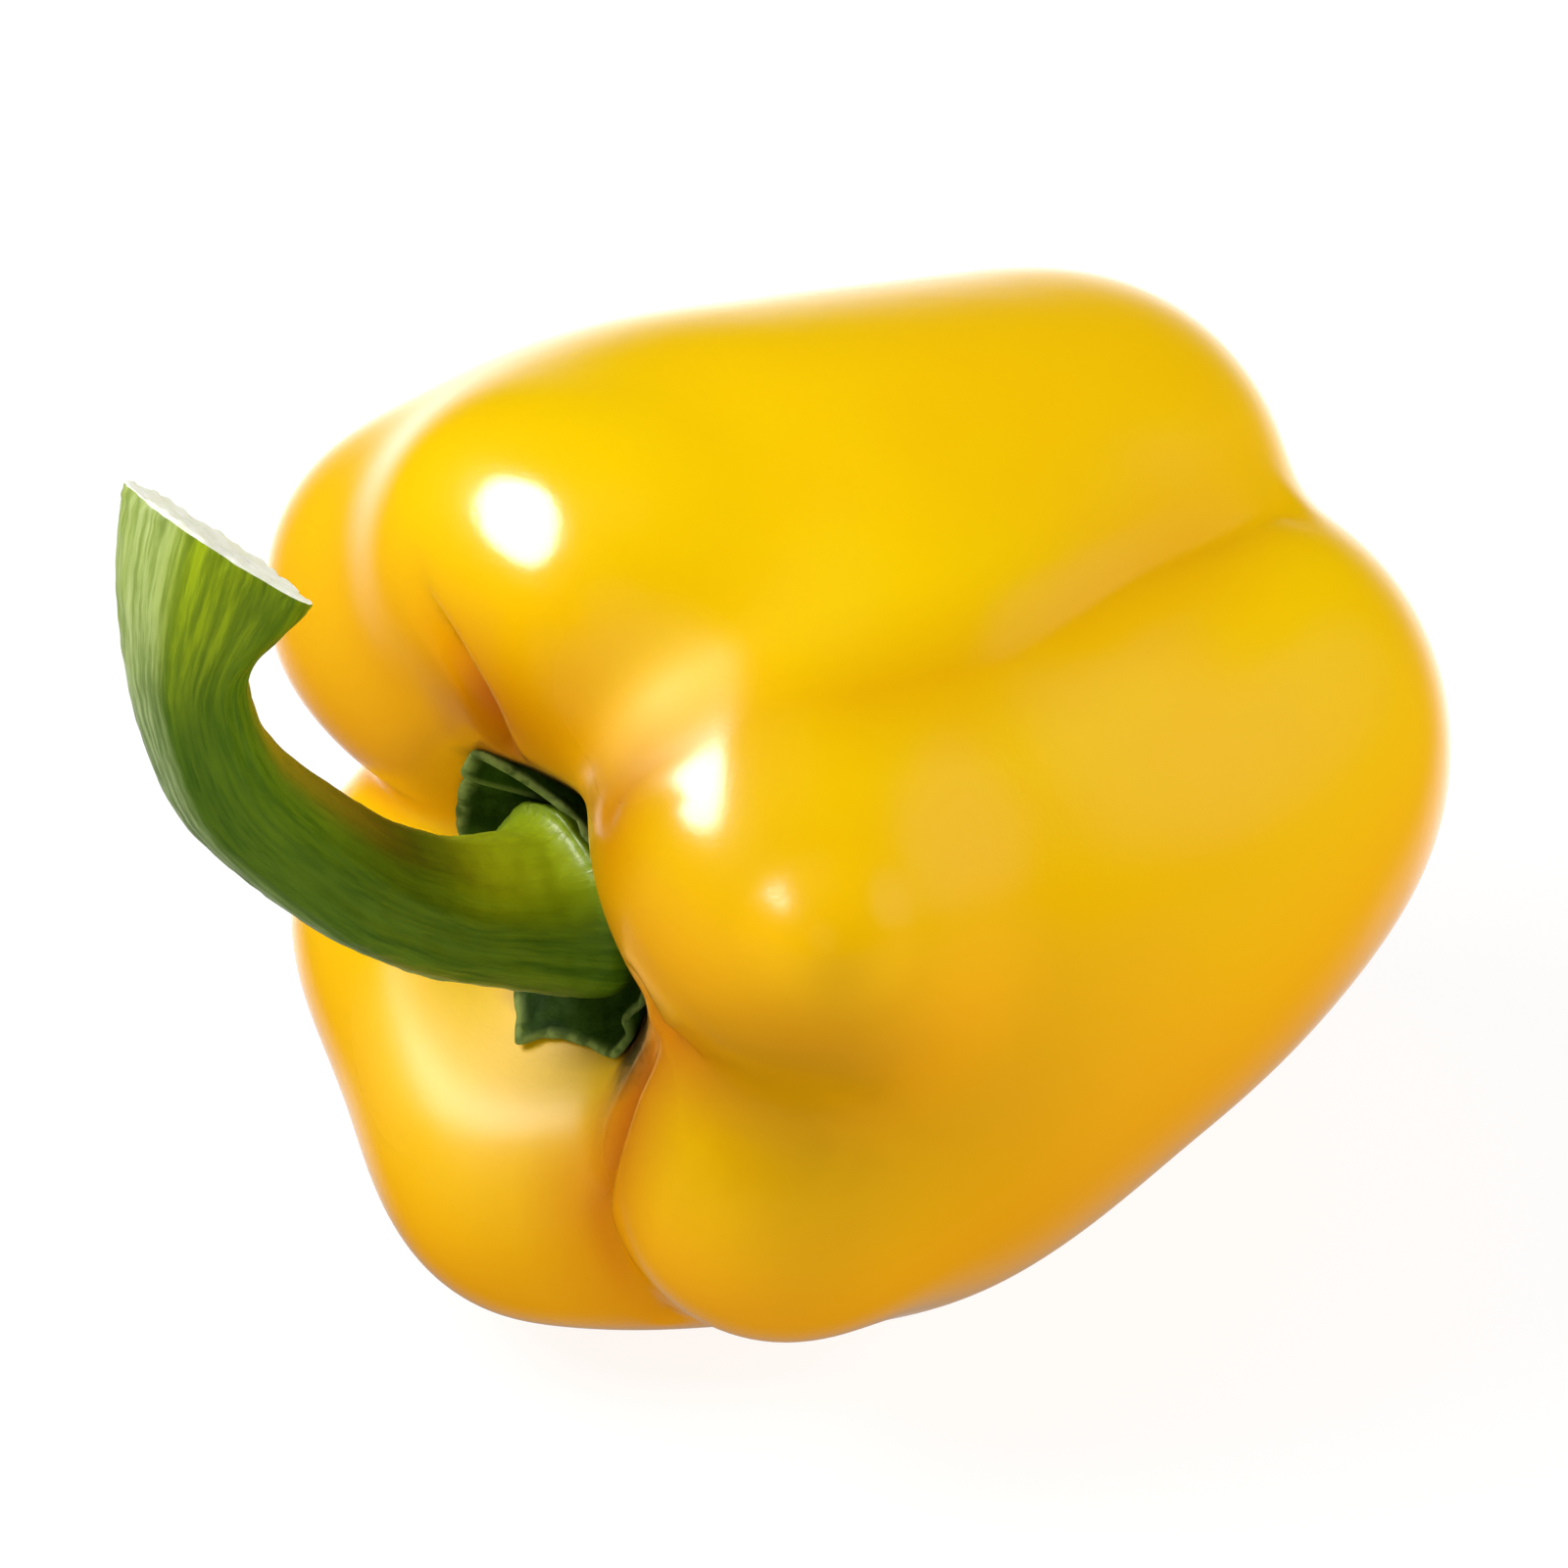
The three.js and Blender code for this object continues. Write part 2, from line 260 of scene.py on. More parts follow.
def mottle(tree, position, patch_size, grain_size):
    """A patch mask and a fine grain height whose features have the given sizes in metres."""
    made = tree.nodes.new("ShaderNodeGroup")
    made.node_tree = mottle_group()
    tree.links.new(position, made.inputs["Position"])
    made.inputs["Patches"].default_value = 1 / patch_size
    made.inputs["Grain"].default_value = 1 / grain_size
    return made.outputs["Patch Mask"], made.outputs["Grain Height"]


# The fruit


class PEPPER_PG_fruit(bpy.types.PropertyGroup):
    skin: bpy.props.FloatVectorProperty(
        name="Skin",
        description="Colour of the ripe skin on the crowns of the lobes",
        subtype="COLOR",
        size=4,
        default=(0.85, 0.54, 0.0, 1),
    )
    # Amber is both the colour of the skin's own soft patches and the painted shade of its creases
    # and underside.
    amber_and_shade: bpy.props.FloatVectorProperty(
        name="Amber",
        description="Deeper colour of the skin in the creases and in soft patches",
        subtype="COLOR",
        size=4,
        default=(0.82, 0.33, 0.0, 1),
    )
    unripe: bpy.props.FloatVectorProperty(
        name="Unripe",
        description="Colour of the last green on the side that ripens latest",
        subtype="COLOR",
        size=4,
        default=(0.5, 0.25, 0.0, 1),
    )
    # Painted shade: the colour the skin goes over to at the bottom of the sharp folds.
    fold_shade_colour: bpy.props.FloatVectorProperty(
        name="Deep amber",
        description="Colour of the skin at the bottom of the sharp folds",
        subtype="COLOR",
        size=4,
        default=(0.56, 0.15, 0.0, 1),
    )
    # The ring around the calyx: corky skin, darkened with painted shade of the cavity.
    cork_and_shade: bpy.props.FloatVectorProperty(
        name="Scar",
        description="Colour of the corky ring around the calyx",
        subtype="COLOR",
        size=4,
        default=(0.12, 0.05, 0.012, 1),
    )
    grain: bpy.props.FloatProperty(
        name="Grain",
        description="Size of the fine bumps of the skin",
        unit="LENGTH",
        default=0.45 * MM,
    )


# The copy of the solid: how near two corners are to be one, and how far from flat and from
# right-angled two triangles may be to become one face.
MERGE_DISTANCE = 0.01 * MM
QUAD_FACE_ANGLE = radians(60)
QUAD_SHAPE_ANGLE = radians(120)

# Creases, where the skin gets painted shade, are found where a much smoothed copy lies outside the
# skin: from no crease to a full one.
CREASE_BLUR = {"factor": 0.9, "iterations": 70}
CREASE_DEPTHS = (-0.1 * MM, 1.4 * MM)

# The underside is given painted shade in amber: how far the normals of the underside and of the
# top point up.
UNDER_SLOPES = (-0.5, 1.0)

# The side that ripens latest: its middle, how far it reaches and how much of that is full.
UNRIPE_PLACE = Vector((-25, -36, 50.4)) * MM
UNRIPE_REACH = 21 * MM
UNRIPE_CORE = 0.15

# The ring around the calyx, corky skin darkened with painted shade of the cavity: its reach from
# the stem's root in millimetres, where it is full and where it ends, on its wide side under the
# top and right lobes and on the rest.
WIDE_RING = (16.0, 18.5)
NARROW_RING = (11.5, 13.5)
WIDE_RING_CLOCK = 45
WIDE_RING_TURNS = (70, 100)  # degrees to each side over which it narrows
RING_END = (5 * MM, 15 * MM)  # along the fruit, so that the blossom end has no ring

# A low knuckle on the right lobe's shoulder: its place, reach and height.
KNUCKLE = (Vector((-22.1, -39.6, 69.8)) * MM, 8.5 * MM, 1.9 * MM)

# Places where the skin is less glossy, each with its reach, in millimetres, and how dull it is.
SATIN_PLACES = (
    (-28.5, 7.0, 34.8, 15, 0.62),
    (-28.3, -1.7, 33.3, 15, 0.62),
    (-21.9, -14.5, 80.6, 11, 0.85),
)
SATIN_CORE = 0.4  # the share of the reach that is dull all over

# The sharp lines at the bottom of the creases between lobes. Each point: its place, the line's
# depth and half width there, all in millimetres, and how far its colour goes over to the deep
# amber of painted shade.
FOLDS = (
    (
        (-24.3, 19.8, 88.8, 0.0, 3.0, 0.0),
        (-28.6, 12.4, 87.1, 0.0, 3.0, 0.0),
        (-30.4, 7.2, 82.3, 1.0, 3.5, 0.2),
        (-30.1, 3.4, 78.6, 2.4, 3.0, 0.5),
        (-28.9, 1.3, 74.4, 2.7, 3.0, 0.9),
        (-25.9, 2.1, 67.9, 1.5, 3.0, 1.0),
    ),
    (
        (-28.2, -16.7, 73.0, 0.5, 2.5, 0.7),
        (-26.4, -18.3, 76.8, 0.35, 2.0, 0.55),
        (-23.3, -21.2, 80.2, 0.15, 2.0, 0.3),
        (-18.8, -23.5, 82.3, 0.0, 5.0, 0.2),
        (-8.4, -26.4, 82.3, 0.0, 6.0, 0.35),
        (4.3, -27.9, 81.2, 0.3, 7.0, 0.35),
        (14.5, -26.2, 80.4, 0.7, 6.0, 0.3),
        (24.8, -23.3, 79.4, 0.9, 5.0, 0.3),
        (37.0, -19.8, 76.9, 1.1, 5.0, 0.25),
        (48.2, -16.4, 74.1, 0.9, 5.0, 0.2),
    ),
    (
        (-28.1, -20.0, 57.0, 0.5, 2.5, 0.3),
        (-25.7, -19.7, 51.0, 1.5, 2.5, 0.8),
        (-25.5, -23.5, 50.5, 0.9, 3.0, 0.8),
        (-25.2, -26.1, 50.3, 0.4, 4.0, 0.7),
        (-25.0, -32.0, 54.5, 0.0, 4.0, 0.6),
        (-24.0, -36.0, 57.5, 0.0, 4.0, 0.5),
    ),
    (
        (-25.3, -18.6, 48.3, 0.5, 2.5, 1.0),
        (-26.1, -17.0, 43.7, 1.5, 2.5, 1.0),
        (-28.2, -16.7, 38.5, 1.8, 2.5, 1.0),
        (-28.7, -15.7, 33.2, 1.8, 2.5, 0.9),
        (-27.4, -13.4, 27.2, 1.6, 2.5, 0.7),
        (-25.8, -13.9, 20.5, 1.4, 2.5, 0.5),
        (-20.6, -13.7, 11.5, 1.0, 3.0, 0.4),
    ),
)
FOLD_STEPS = 240
FOLD_SHADE = 9 * MM  # how far the deep amber spreads to each side of a fold
FOLD_FADE = 1.2  # the power by which it fades out

# How much the amber covers at the most: in the skin's own soft patches, and as painted shade on
# the underside and in the creases.
PATCH_AMBER = 0.2
UNDER_SHADE = 0.9
CREASE_SHADE = 0.8
# The skin's soft patches, the last green's blotches and how much they cover, and the fibres of
# the corky ring, which also carries painted shade.
PATCH_SIZE = 34 * MM
BLOTCH_SIZE = 16 * MM
BLOTCH_MOST = 0.75
RING_FIBRE_SIZE = 0.9 * MM
# The skin's gloss: its roughness where glossy and where dull, and its coat of wax.
GLOSSY_ROUGHNESS = (0.18, 0.23)
SATIN_ROUGHNESS = 0.75
SKIN_COAT = 0.05
# How far the skin's slow waves and its fine grain rise.
SKIN_WAVE_SIZE = 5 * MM
SKIN_WAVE_DEPTH = 0.05 * MM
SKIN_GRAIN_DEPTH = 0.012 * MM


def smoothed_copy(node, name):
    """A copy of a CAD node's mesh as one smooth closed surface."""
    piece = bpy.data.objects.new(name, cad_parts[node].data.copy())
    bpy.context.scene.collection.objects.link(piece)
    edit_all(piece)
    bpy.ops.mesh.remove_doubles(threshold=MERGE_DISTANCE)
    bpy.ops.mesh.customdata_custom_splitnormals_clear()
    bpy.ops.mesh.tris_convert_to_quads(
        face_threshold=QUAD_FACE_ANGLE,
        shape_threshold=QUAD_SHAPE_ANGLE,
    )
    bpy.ops.object.mode_set(mode="OBJECT")
    piece.data.materials.clear()
    return piece


def crease_depths(piece):
    """How deep each vertex lies in a crease, as a share: 0 on a crown, 1 deep in a crease."""
    blurred = piece.copy()
    blurred.data = piece.data.copy()
    bpy.context.scene.collection.objects.link(blurred)
    apply_modifier(blurred, "SMOOTH", **CREASE_BLUR)
    depths = []
    for vertex, far in zip(piece.data.vertices, blurred.data.vertices):
        depth = (far.co - vertex.co).dot(vertex.normal)
        depths.append(smoothstep(depth, *CREASE_DEPTHS))
    bpy.data.objects.remove(blurred)
    return depths


def ring_share(point):
    """How far a point lies in the ring of cork and painted shade: 1 around the calyx and 0 on the
    rest of the fruit.
    """
    step = point - ROOT
    reach = (step - TO_BLOSSOM * step.dot(TO_BLOSSOM)).length / MM
    clock = degrees(atan2(step.dot(AXIS_SIDE), step.dot(AXIS_TOP)))
    wide = 1 - smoothstep(turn_between(clock, WIDE_RING_CLOCK), *WIDE_RING_TURNS)
    full, end = (narrow + (broad - narrow) * wide for broad, narrow in zip(WIDE_RING, NARROW_RING))
    stem_half = 1 - smoothstep(point.x, *RING_END)
    return stem_half * (1 - smoothstep(reach, full, end))


def satin_share(point):
    """How dull the skin is at a point."""
    shares = []
    for x, y, z, reach, dull in SATIN_PLACES:
        away = (point - Vector((x, y, z)) * MM).length / MM
        shares.append(dull * (1 - smoothstep(away, SATIN_CORE * reach, reach)))
    return max(shares)


def skin_material(settings):
    """Glossy yellow skin, with painted shade in deeper amber in its creases and below and in deep
    amber along its folds, a ring of cork and painted shade around the calyx, and a last trace of
    green.
    """
    material, tree, shader = new_material(
        "pepper_skin", specular=0.14, coat=SKIN_COAT, coat_roughness=0.12
    )
    skin, amber_and_shade = tuple(settings.skin), tuple(settings.amber_and_shade)
    position = object_position(tree)
    patch, grain = mottle(tree, position, PATCH_SIZE, settings.grain)
    colour = mix_colour(tree, times(tree, patch, PATCH_AMBER), skin, amber_and_shade)
    # Painted shade: amber on the underside and in the creases, and deep amber along the folds.
    under_shade = times(tree, attribute(tree, "under_shade"), UNDER_SHADE)
    colour = mix_colour(tree, under_shade, colour, amber_and_shade)
    crease = times(tree, attribute(tree, "crease"), CREASE_SHADE)
    colour = mix_colour(tree, crease, colour, amber_and_shade)
    colour = mix_colour(tree, attribute(tree, "fold"), colour, tuple(settings.fold_shade_colour))
    # The last green shows as blotches that fade out around its middle.
    apart = {0: position, 1: UNRIPE_PLACE}
    step = add_node(tree, "ShaderNodeVectorMath", apart, operation="DISTANCE").outputs["Value"]
    near = map_range(tree, step, UNRIPE_REACH, UNRIPE_CORE * UNRIPE_REACH)
    blotch = map_range(tree, noise_mask(tree, position, BLOTCH_SIZE), 0.3, 0.6, 0.4, 1.0)
    unripe = times(tree, times(tree, near, blotch), BLOTCH_MOST)
    colour = mix_colour(tree, unripe, colour, tuple(settings.unripe))
    # The ring around the calyx, corky skin with painted shade, is streaked with lighter and darker
    # fibres.
    fibres = noise_mask(tree, position, RING_FIBRE_SIZE, 4.0)
    lightness = map_range(tree, fibres, 0.4, 0.6, 0.5, 1.3)
    ring_colour = mix_colour(tree, 1.0, tuple(settings.cork_and_shade), lightness, "MULTIPLY")
    colour = mix_colour(tree, attribute(tree, "cork_and_shade"), colour, ring_colour)
    tree.links.new(colour, shader.inputs["Base Color"])
    satin = attribute(tree, "satin")
    glossy = map_range(tree, patch, 0.0, 1.0, *GLOSSY_ROUGHNESS)
    roughness = add_node(tree, "ShaderNodeMix", {0: satin, 2: glossy, 3: SATIN_ROUGHNESS})
    tree.links.new(roughness.outputs[0], shader.inputs["Roughness"])
    wax = map_range(tree, satin, 0.0, 0.6, SKIN_COAT, 0.0)
    tree.links.new(wax, shader.inputs["Coat Weight"])
    waves = bump(tree, noise_mask(tree, position, SKIN_WAVE_SIZE, 2.0), SKIN_WAVE_DEPTH)
    tree.links.new(bump(tree, grain, SKIN_GRAIN_DEPTH, waves), shader.inputs["Normal"])
    return material


class PEPPER_OT_fruit(bpy.types.Operator):
    """Adds the lobed fruit with its glossy skin"""

    bl_idname = "pepper.fruit"
    bl_label = "Fruit"

    def execute(self, context):
        piece = smoothed_copy("fruit", "pepper_fruit")
        # The depth in the creases sets how much painted shade in amber the skin takes there.
        keep_values(piece, "crease", "FLOAT", crease_depths(piece))
        vertices = piece.data.vertices
        # How far each vertex lies in the ring of cork and painted shade around the calyx.
        keep_values(piece, "cork_and_shade", "FLOAT", [ring_share(vertex.co) for vertex in vertices])
        # How far each vertex faces down, which sets the painted shade of the underside.
        under_shades = [1 - smoothstep(vertex.normal.z, *UNDER_SLOPES) for vertex in vertices]
        keep_values(piece, "under_shade", "FLOAT", under_shades)
        subdivide_surface(piece, 2)
        satins = [satin_share(vertex.co) for vertex in piece.data.vertices]
        keep_values(piece, "satin", "FLOAT", satins)
        self.press(piece)
        piece.data.materials.append(skin_material(context.scene.pepper_fruit))
        finish_piece(piece, "fruit")
        return {"FINISHED"}

    def press(self, piece):
        """Presses the folds into the creases, raises the knuckle and keeps how much painted shade
        each vertex takes from the folds.
        """
        steps = [step for fold in FOLDS for step in smooth_values(fold, FOLD_STEPS)]
        tree = KDTree(len(steps))
        for index, step in enumerate(steps):
            tree.insert(Vector(step[:3]) * MM, index)
        tree.balance()
        normals = [vertex.normal.copy() for vertex in piece.data.vertices]
        place, reach, height = KNUCKLE
        shades = []
        for vertex, normal in zip(piece.data.vertices, normals):
            _, index, away = tree.find(vertex.co)
            depth, width, tone = steps[index][3:]
            lower = depth * MM * max(1 - away / (width * MM), 0) ** 2
            share = min((vertex.co - place).length / reach, 1)
            vertex.co += normal * (height * (1 - share * share) ** 2 - lower)
            # The painted shade of the nearest fold fades out to each side of it.
            shades.append(tone * max(1 - away / FOLD_SHADE, 0) ** FOLD_FADE)
        keep_values(piece, "fold", "FLOAT", shades)


# The stem

# How far the stem's middle is out from its foot and up, the angle by which it has turned upwards,
# and its width: millimetres and degrees.
STEM_STATIONS = (
    (0.0, 0.8, 2, 14.0),
    (3.2, 1.8, 1, 17.8),
    (5.3, 2.6, 1, 18.8),
    (7.6, 3.0, 12, 16.4),
    (11.0, 4.1, 22, 14.3),
    (17.8, 7.3, 32, 12.6),
    (22.3, 10.6, 39, 12.0),
    (27.9, 15.5, 46, 11.4),
    (37.3, 27.0, 58, 10.4),
    (40.6, 33.8, 69, 9.8),
    (42.1, 41.6, 85, 10.0),
    (41.0, 46.0, 100, 12.8),
    (39.8, 49.4, 115, 15.7),
    (38.6, 53.6, 135, 18.2),
)
STEM_RINGS = 48
STEM_COLUMNS = 48
# Low ribs along the stem: how many times each goes round, how high it is and where it starts.
STEM_RIBS = ((5, 0.020, 0.4), (9, 0.010, 2.1), (16, 0.006, 0.9))
# The cut face: how far in from the edge each step goes, and how far it rises, in millimetres.
CUT_STEPS = ((0.3, 0.12), (0.5, -0.1), (1.6, -0.12), (2.2, 0.1))

# The fibres run along the stem, so their patterns are stretched along it by this share.
FIBRE_RADIUS = 6 * MM
FIBRE_STRETCH = 0.09
STREAK_SIZE = 0.6 * MM
BAND_SIZE = 3.2 * MM
STREAK_DEPTH = 0.16 * MM
# How high the ridges, the lumps and the torn edge by the cut stand, in millimetres, how fine the
# ridges are around the stem and along it, how fine the lumps are, and where the torn edge is.
RIDGE_HEIGHT = 0.16
LUMP_HEIGHT = 0.12
TORN_HEIGHT = 0.3
RIDGE_SCALES = (0.9, 0.9, 0.06)
LUMP_SCALE = 0.55
TORN_PART = (0.97, 1.0)


class PEPPER_PG_stem(bpy.types.PropertyGroup):
    green: bpy.props.FloatVectorProperty(
        name="Green",
        description="Colour of the stem between its streaks",
        subtype="COLOR",
        size=4,
        default=(0.11, 0.19, 0.004, 1),
    )
    streak: bpy.props.FloatVectorProperty(
        name="Streaks",
        description="Colour of the darker streaks along the stem",
        subtype="COLOR",
        size=4,
        default=(0.04, 0.1, 0.002, 1),
    )
    fresh: bpy.props.FloatVectorProperty(
        name="Fresh green",
        description="Colour near the cut and on top of the foot",
        subtype="COLOR",
        size=4,
        default=(0.36, 0.46, 0.002, 1),
    )
    # Painted light: the yellow that the fruit throws back onto the inner side of the bend.
    fruit_bounce: bpy.props.FloatVectorProperty(
        name="Olive",
        description="Colour of the inner side of the bend",
        subtype="COLOR",
        size=4,
        default=(0.24, 0.2, 0.008, 1),
    )
    wax: bpy.props.FloatVectorProperty(
        name="Wax",
        description="Colour of the pale bloom on the outer side of the bend",
        subtype="COLOR",
        size=4,
        default=(0.5, 0.58, 0.3, 1),
    )
    cut: bpy.props.FloatVectorProperty(
        name="Cut",
        description="Colour of the pale cut face",
        subtype="COLOR",
        size=4,
        default=(0.86, 0.86, 0.76, 1),
    )


def stem_material(settings):
    """Green skin with streaks along it, fresher by the foot and the cut, waxy outside the bend,
    and with painted yellow light from the fruit inside the bend.
    """
    material, tree, shader = new_material(
        "pepper_stem", specular=0.1, roughness=0.42, coat=0.02, coat_roughness=0.3
    )
    green, streak, fresh = tuple(settings.green), tuple(settings.streak), tuple(settings.fresh)
    along = attribute(tree, "along")
    inner = attribute(tree, "inner")
    patch, grain = mottle(tree, object_position(tree), 9 * MM, 0.5 * MM)
    along_fibres = {0: attribute(tree, "fibre", "Vector"), 1: (1, 1, FIBRE_STRETCH)}
    made = add_node(tree, "ShaderNodeVectorMath", along_fibres, operation="MULTIPLY")
    stretched = made.outputs[0]
    streaks = noise_mask(tree, stretched, STREAK_SIZE, 4.0, 0.6)
    bands = noise_mask(tree, stretched, BAND_SIZE, 2.0)
    colour = mix_colour(tree, map_range(tree, streaks, 0.36, 0.68, 0.15, 0.85), green, streak)
    colour = mix_colour(tree, map_range(tree, bands, 0.45, 0.65, 0.0, 0.45), colour, green)
    colour = mix_colour(tree, times(tree, patch, 0.3), colour, streak)
    # The side inside the bend is yellow-green by the foot, and further on olive: painted light
    # thrown back onto it from the yellow fruit.
    inside = map_range(tree, inner, 0.0, 0.9, 0.0, 0.85)
    foot = times(tree, map_range(tree, along, 0.4, 0.22), map_range(tree, along, 0.05, 0.12))
    colour = mix_colour(tree, times(tree, inside, foot), colour, fresh)
    inside = map_range(tree, inner, 0.45, 0.95, 0.0, 0.8)
    beyond = map_range(tree, along, 0.32, 0.5)
    colour = mix_colour(tree, times(tree, inside, beyond), colour, tuple(settings.fruit_bounce))
    # The end by the cut is fresher, most of all on its outer side, and streaked.
    outer = map_range(tree, inner, 0.3, -0.75, 0.25, 0.9)
    end = times(tree, map_range(tree, along, 0.78, 0.98), outer)
    end = times(tree, end, map_range(tree, streaks, 0.3, 0.62, 1.0, 0.4))
    colour = mix_colour(tree, end, colour, fresh)
    waxy = map_range(tree, streaks, 0.35, 0.6, 0.55, 0.2)
    bloom = times(tree, map_range(tree, inner, -0.8, -1.0), waxy)
    colour = mix_colour(tree, bloom, colour, tuple(settings.wax))
    tree.links.new(colour, shader.inputs["Base Color"])
    ridges = bump(tree, streaks, STREAK_DEPTH)
    tree.links.new(bump(tree, grain, 0.03 * MM, ridges), shader.inputs["Normal"])
    return material


def cut_material(settings):
    """Pale pith with slightly darker patches and a coarse grain."""
    material, tree, shader = new_material("pepper_stem_cut", specular=0.2, roughness=0.7)
    patch, grain = mottle(tree, object_position(tree), 2 * MM, 0.4 * MM)
    cut = tuple(settings.cut)
    pith = mix_colour(tree, 1.0, cut, (0.93, 0.95, 0.84, 1), "MULTIPLY")
    colour = mix_colour(tree, patch, cut, pith)
    tree.links.new(colour, shader.inputs["Base Color"])
    tree.links.new(bump(tree, grain, 0.15 * MM), shader.inputs["Normal"])
    return material


class PEPPER_OT_stem(bpy.types.Operator):
    """Adds the curved stem with its ribs, streaks and pale cut face"""

    bl_idname = "pepper.stem"
    bl_label = "Stem"

    def execute(self, context):
        rows = smooth_values(STEM_STATIONS, STEM_RINGS)
        places = [ROOT + Vector((-out, 0, up)) * MM for out, up, _, _ in rows]
        piece = self.grow(context, rows, places)
        self.keep_fibres(piece, rows, places)
        subdivide_surface(piece, 2)
        self.roughen(piece)
        settings = context.scene.pepper_stem
        piece.data.materials.append(stem_material(settings))
        piece.data.materials.append(cut_material(settings))
        finish_piece(piece, "stem")
        return {"FINISHED"}

    def grow(self, context, rows, places):
        """Extrudes the stem's foot through its rings up to the cut."""
        bpy.ops.object.select_all(action="DESELECT")
        bpy.ops.mesh.primitive_circle_add(
            vertices=STEM_COLUMNS,
            radius=0.5 * rows[0][3] * MM,
            fill_type="NGON",
            location=places[0],
            rotation=(0, radians(rows[0][2] - 90), 0),
        )
        piece = context.object
        piece.name = "pepper_stem"
        bake_place(piece)
        for index, vertex in enumerate(piece.data.vertices):
            angle = 2 * pi * index / STEM_COLUMNS
            rib = sum(height * cos(count * angle + start) for count, height, start in STEM_RIBS)
            vertex.co = places[0] + (vertex.co - places[0]) * (1 + rib)
        edit_all(piece)
        for before, row, place, was in zip(rows, rows[1:], places[1:], places):
            bpy.ops.mesh.extrude_region_move(TRANSFORM_OT_translate={"value": place - was})
            grown = row[3] / before[3]
            bpy.ops.transform.resize(value=(grown, grown, grown), center_override=place)
            turned = radians(row[2] - before[2])
            bpy.ops.transform.rotate(value=-turned, orient_axis="Y", center_override=place)
        for inward, rise in CUT_STEPS:
            bpy.ops.mesh.inset(thickness=inward * MM, depth=rise * MM)
        bpy.ops.mesh.select_all(action="SELECT")
        bpy.ops.mesh.normals_make_consistent(inside=False)
        bpy.ops.object.mode_set(mode="OBJECT")
        return piece

    def keep_fibres(self, piece, rows, places):
        """Keeps how the fibres run and which side is inside the bend, and marks the cut."""
        last = len(rows) - 1
        lengths = [0]
        for was, place in zip(places, places[1:]):
            lengths.append(lengths[-1] + (place - was).length)
        fibres, alongs, inners = [], [], []
        for index, vertex in enumerate(piece.data.vertices):
            ring = min(index // STEM_COLUMNS, last)
            turn = radians(rows[ring][2])
            inward = Vector((sin(turn), 0, cos(turn)))
            step = vertex.co - places[ring]
            angle = atan2(step.dot(AXIS_SIDE), step.dot(inward))
            fibres.append((cos(angle) * FIBRE_RADIUS, sin(angle) * FIBRE_RADIUS, lengths[ring]))
            alongs.append(lengths[ring] / lengths[-1])
            inners.append(cos(angle))
        keep_values(piece, "fibre", "FLOAT_VECTOR", fibres)
        keep_values(piece, "along", "FLOAT", alongs)
        keep_values(piece, "inner", "FLOAT", inners)
        for face in piece.data.polygons:
            if min(face.vertices) >= last * STEM_COLUMNS:
                face.material_index = 1

    def roughen(self, piece):
        """Raises fine ridges along the stem and small lumps on it, most of all round the cut."""
        data = piece.data
        normals = [vertex.normal.copy() for vertex in data.vertices]
        fibres = data.attributes["fibre"].data
        alongs = data.attributes["along"].data
        for vertex, normal, fibre, along in zip(data.vertices, normals, fibres, alongs):
            around = [part * scale for part, scale in zip(fibre.vector / MM, RIDGE_SCALES)]
            height = RIDGE_HEIGHT * noise.noise(around)
            height += LUMP_HEIGHT * noise.noise(vertex.co / MM * LUMP_SCALE)
            torn = smoothstep(along.value, *TORN_PART)
            height += TORN_HEIGHT * torn * noise.noise(vertex.co / MM)
            vertex.co += normal * height * MM


# The calyx

CALYX_COLUMNS = 180
CALYX_RINGS = 14
# The calyx's edge around the stem, from tooth to notch: the clock angle, how far it reaches from
# the axis and how far it is curled off the fruit, in millimetres.
CALYX_EDGE = (
    (4, 12.6, 2.4),
    (16, 12.9, 2.8),
    (31, 12.5, 2.5),
    (60, 12.0, 1.8),
    (95, 11.5, 1.2),
    (116, 11.2, 0.9),
    (120, 12.6, 2.0),
    (124, 13.0, 0.7),
    (135, 13.8, 0.8),
    (158, 12.8, 0.8),
    (174, 12.9, 0.8),
    (184, 13.6, 0.8),
    (187, 14.6, 1.0),
    (199, 13.8, 0.9),
    (210, 13.1, 0.9),
    (238, 12.0, 1.0),
    (262, 14.4, 1.0),
    (277, 15.9, 0.8),
    (295, 15.3, 0.9),
    (315, 15.7, 0.9),
    (332, 17.2, 0.9),
    (341, 18.3, 0.8),
    (346, 16.0, 1.1),
    (350, 14.2, 1.6),
)
CALYX_GAP = 0.3  # how far its inner part stands off the fruit, in millimetres
CALYX_CURL = 0.6  # the share of its reach at which it starts to curl up
# The pale rib in the upper tooth: its clock angle and half width, its height and where it rises.
RIB_CLOCK = 326
RIB_TURN = 7
RIB_HEIGHT = 0.8
RIB_START = (0.5, 0.75)
# The pocket beside the rib, where only the rim curls up: its clock angle, how far it is full and
# ends to each side, and how much later the calyx curls there.
POCKET_CLOCK = 340
POCKET_TURNS = (4, 14)
POCKET_CURL = 0.25
CALYX_START = 60 * MM  # how far in front of the fruit the calyx is drawn before it is laid on


class PEPPER_PG_calyx(bpy.types.PropertyGroup):
    green: bpy.props.FloatVectorProperty(
        name="Green",
        description="Colour of the calyx",
        subtype="COLOR",
        size=4,
        default=(0.028, 0.062, 0.004, 1),
    )
    edge: bpy.props.FloatVectorProperty(
        name="Edge",
        description="Colour of the pale edges of the teeth",
        subtype="COLOR",
        size=4,
        default=(0.2, 0.26, 0.06, 1),
    )
    thickness: bpy.props.FloatProperty(
        name="Thickness",
        description="Thickness of the calyx at its edge",
        unit="LENGTH",
        default=0.9 * MM,
    )


